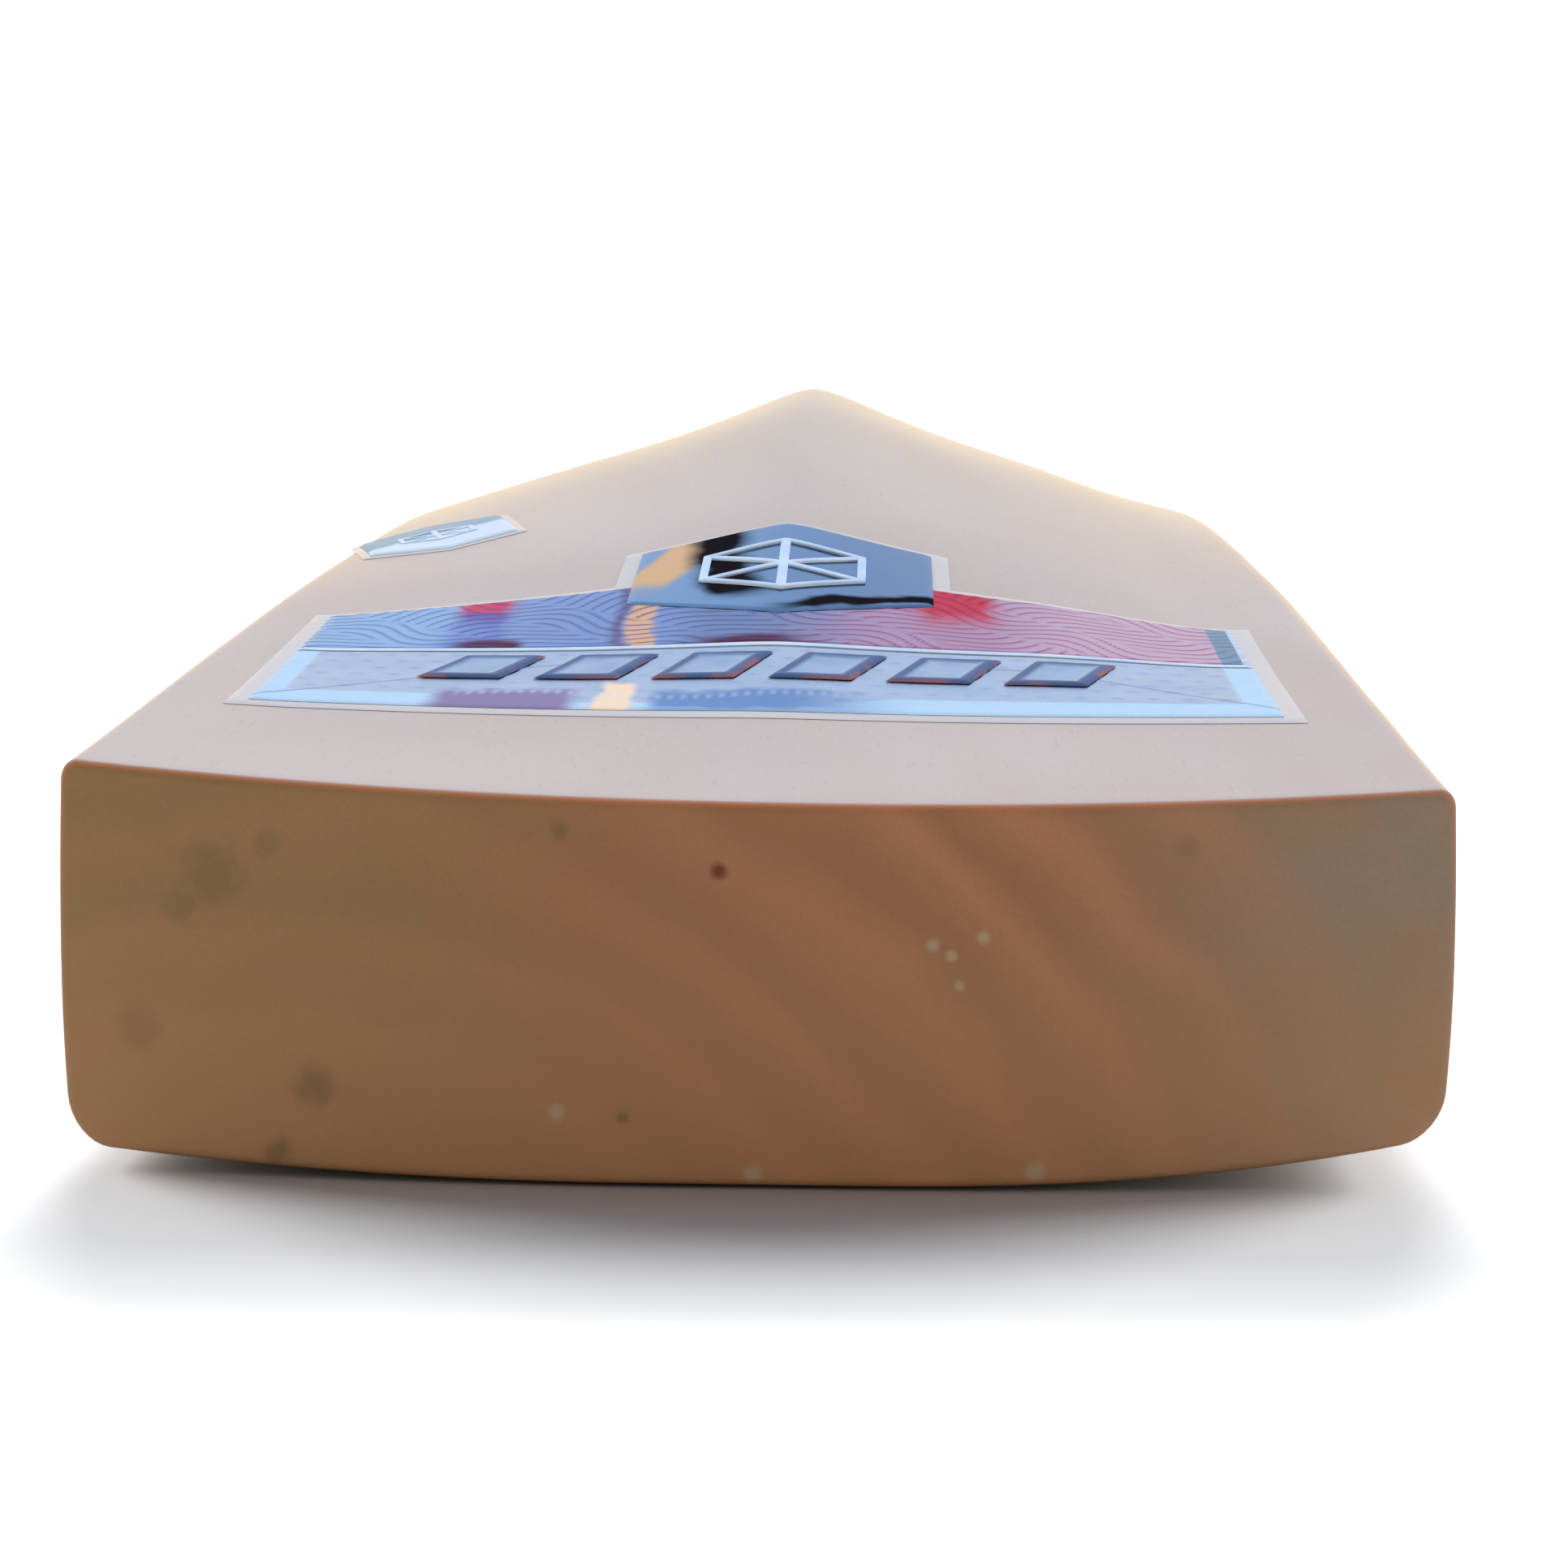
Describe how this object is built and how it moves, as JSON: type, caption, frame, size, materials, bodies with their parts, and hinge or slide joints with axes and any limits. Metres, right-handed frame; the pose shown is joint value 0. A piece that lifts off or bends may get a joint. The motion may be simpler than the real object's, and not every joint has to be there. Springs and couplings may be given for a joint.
{
  "type": "cricket bat",
  "caption": "Willow cricket bat with a ridged back, laminated cane handle let in by a splice, twine binding, rubber grip and foil decals.",
  "frame": {"origin": "on the table under the middle of the bat's length and width, the bat lying on its playing face", "axes": "+X across the blade, +Y from the toe to the handle's end, +Z from the playing face to the back"},
  "size_m": [0.108, 0.86, 0.0629],
  "materials": {
    "willow": "pale willow under satin lacquer, brown end grain on the toe",
    "cane": "sanded cane with fine dark fibres",
    "spring_rubber": "matt black sheet rubber",
    "twine": "glued waxed twine, close wound",
    "grip_rubber": "matt moulded rubber with a raised pattern",
    "clear_film": "clear gloss carrier film",
    "silver_foil": "bright silver foil",
    "printed_foil": "mirror foil printed steel blue fading to red",
    "blue_foil": "steel blue mirror foil",
    "bar_ink": "raised chromed bars with a blue outline"
  },
  "bodies": {
    "root": {"blade": "willow", "cane_a_face": "cane", "cane_a_middle": "cane", "cane_a_back": "cane", "cane_b_face": "cane", "cane_b_middle": "cane", "cane_b_back": "cane", "cane_c_face": "cane", "cane_c_middle": "cane", "cane_c_back": "cane", "cane_d_face": "cane", "cane_d_middle": "cane", "cane_d_back": "cane", "rubber_spring_left": "spring_rubber", "rubber_spring_centre": "spring_rubber", "rubber_spring_right": "spring_rubber", "twine_binding": "twine", "grip": "grip_rubber", "label_film": "clear_film", "label_lower_panel": "silver_foil", "label_divider": "silver_foil", "label_upper_panel": "printed_foil", "label_badge": "blue_foil", "badge_emblem": "blue_foil", "label_bar_1": "bar_ink", "label_bar_2": "bar_ink", "label_bar_3": "bar_ink", "label_bar_4": "bar_ink", "label_bar_5": "bar_ink", "label_bar_6": "bar_ink", "side_badge_film": "clear_film", "side_badge_foil": "silver_foil", "side_badge_emblem": "silver_foil"}
  },
  "joints": []
}
